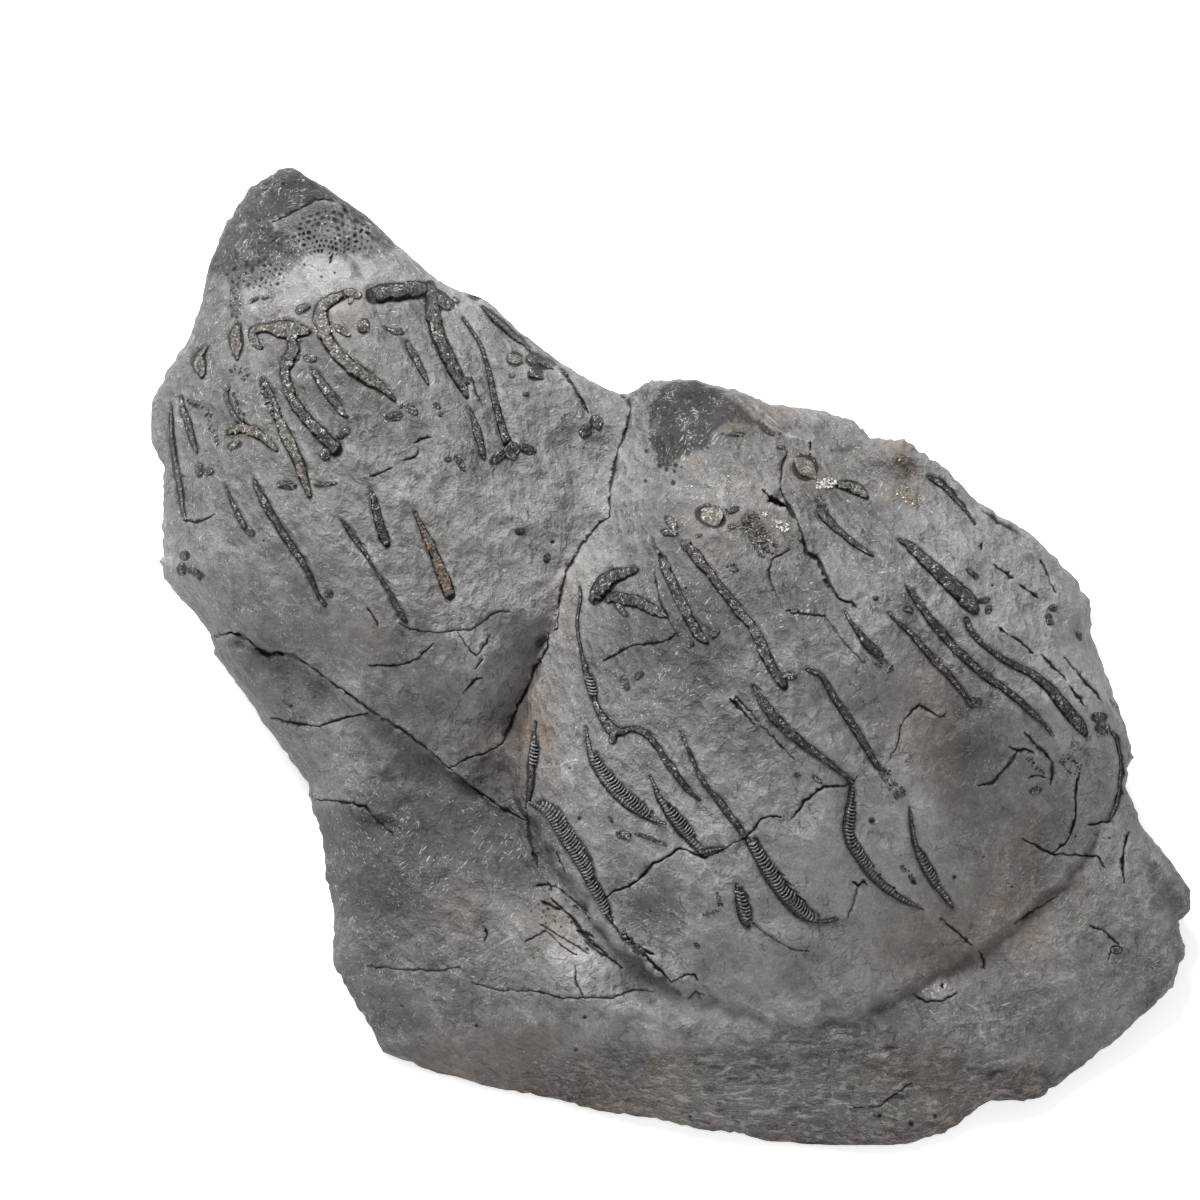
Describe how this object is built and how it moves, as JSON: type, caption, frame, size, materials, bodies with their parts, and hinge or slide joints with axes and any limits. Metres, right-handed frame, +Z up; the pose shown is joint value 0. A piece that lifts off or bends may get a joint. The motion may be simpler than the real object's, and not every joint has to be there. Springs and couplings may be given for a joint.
{
  "type": "pyritized crinoid fossil",
  "caption": "Mudstone block with two inflated crinoid crowns side by side, their pyritized arm sections exposed as dark curved ridges, lying on its back.",
  "frame": {"origin": "middle of the bounding box, on the ground under the block", "axes": "+X to the right across both crowns, +Y toward the high back edge with the tips of the crowns, +Z up, out of the flat underside"},
  "size_m": [0.3486, 0.3392, 0.1253],
  "materials": {
    "mudstone": "matte, prepared with fine scribe marks, with brown clay stains",
    "pyritized_fossil": "dark brown to black, finely rough, with small metallic glints"
  },
  "bodies": {
    "root": {"mudstone_block": "mudstone", "left_cup_plate_1": "pyritized_fossil", "left_cup_plate_2": "pyritized_fossil", "left_arm_1": "pyritized_fossil", "left_arm_2": "pyritized_fossil", "left_arm_3": "pyritized_fossil", "left_arm_4": "pyritized_fossil", "left_arm_5": "pyritized_fossil", "left_arm_6": "pyritized_fossil", "left_arm_7": "pyritized_fossil", "left_arm_8": "pyritized_fossil", "left_arm_9": "pyritized_fossil", "left_arm_10": "pyritized_fossil", "left_arm_11": "pyritized_fossil", "left_arm_12": "pyritized_fossil", "left_arm_13": "pyritized_fossil", "left_arm_14": "pyritized_fossil", "left_arm_15": "pyritized_fossil", "left_arm_16": "pyritized_fossil", "left_arm_17": "pyritized_fossil", "left_arm_18": "pyritized_fossil", "left_leaf": "pyritized_fossil", "left_branch": "pyritized_fossil", "right_arm_1": "pyritized_fossil", "right_arm_2": "pyritized_fossil", "right_arm_3": "pyritized_fossil", "right_arm_4": "pyritized_fossil", "right_arm_5": "pyritized_fossil", "right_arm_6": "pyritized_fossil", "right_arm_7": "pyritized_fossil", "right_arm_8": "pyritized_fossil", "right_arm_9": "pyritized_fossil", "right_arm_10": "pyritized_fossil", "right_arm_11": "pyritized_fossil", "right_arm_12": "pyritized_fossil", "right_arm_13": "pyritized_fossil", "right_arm_14": "pyritized_fossil", "right_arm_15": "pyritized_fossil", "right_arm_16": "pyritized_fossil", "right_arm_17": "pyritized_fossil", "right_arm_18": "pyritized_fossil", "right_arm_19": "pyritized_fossil", "right_arm_20": "pyritized_fossil", "right_arm_21": "pyritized_fossil", "right_arm_22": "pyritized_fossil", "right_arm_23": "pyritized_fossil", "right_arm_24": "pyritized_fossil", "right_leaf": "pyritized_fossil", "right_plate": "pyritized_fossil"}
  },
  "joints": []
}
